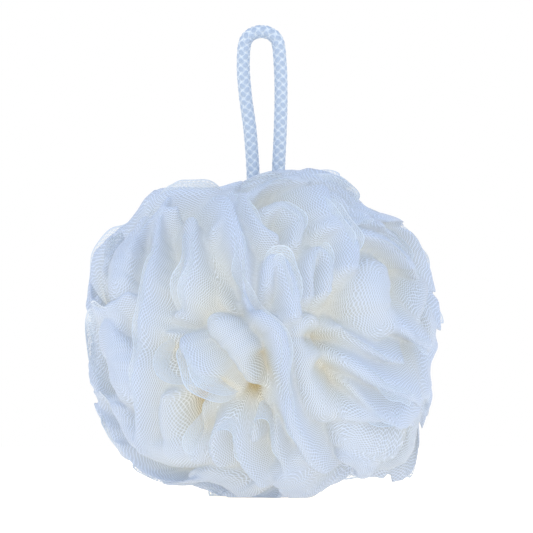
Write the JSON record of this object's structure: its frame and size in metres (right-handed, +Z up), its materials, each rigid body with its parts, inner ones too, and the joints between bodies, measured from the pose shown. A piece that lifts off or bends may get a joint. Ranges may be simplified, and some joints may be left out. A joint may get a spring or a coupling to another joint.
{
  "type": "mesh bath pouf",
  "caption": "Round bath pouf of knitted plastic netting gathered into a ball of deep folds, with a braided cord loop to hang it by.",
  "frame": {"origin": "middle of the flat underside that the ball of folds rests on", "axes": "+Z up through the cord's loop, +X to the right of the side that the picture shows, -Y towards the viewer"},
  "size_m": [0.1256, 0.1198, 0.1668],
  "materials": {
    "netting": "knitted plastic netting, satin, see-through in one layer",
    "cord": "braided plastic cord, satin"
  },
  "bodies": {
    "root": {"mesh_ruffles": "netting", "hanging_cord": "cord"}
  },
  "joints": []
}
